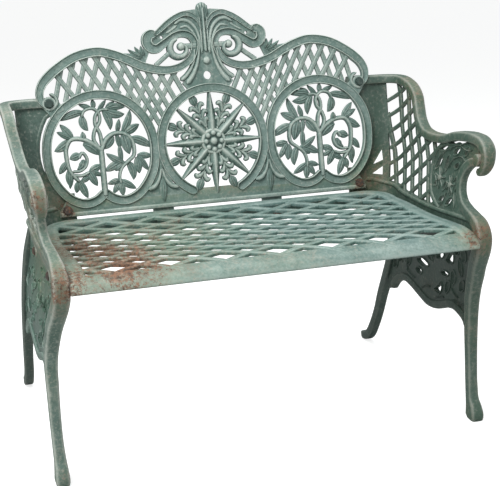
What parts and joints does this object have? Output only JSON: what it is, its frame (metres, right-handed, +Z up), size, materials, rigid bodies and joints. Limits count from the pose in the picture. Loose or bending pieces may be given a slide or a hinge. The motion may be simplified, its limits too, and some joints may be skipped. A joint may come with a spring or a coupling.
{
  "type": "garden bench",
  "caption": "Ornate cast garden bench with pierced back of round medallions and lattice, dished mesh seat, scrolled arm ends and cabriole legs.",
  "frame": {"origin": "on the ground under the middle of the bench's overall width and depth", "axes": "+Z up, -Y towards the front of the seat, +X towards the right arm as seen by someone standing in front facing the bench"},
  "size_m": [0.9326, 0.727, 0.8798],
  "materials": {
    "painted_iron": "aged blue-green paint, worn on the edges and rusted in places",
    "aged_steel": "dull, rusted"
  },
  "bodies": {
    "root": {"back_panel": "painted_iron", "seat_grille": "painted_iron", "left_end": "painted_iron", "right_end": "painted_iron", "back_upper_bolts": "aged_steel", "back_upper_washers": "aged_steel", "back_upper_nuts": "aged_steel", "back_lower_bolts": "aged_steel", "back_lower_washers": "aged_steel", "back_lower_nuts": "aged_steel", "seat_lug_bolts": "aged_steel", "seat_lug_washers": "aged_steel", "seat_lug_nuts": "aged_steel", "left_seat_screws": "aged_steel", "left_seat_washers": "aged_steel", "left_seat_nuts": "aged_steel", "right_seat_screws": "aged_steel", "right_seat_washers": "aged_steel", "right_seat_nuts": "aged_steel"}
  },
  "joints": []
}
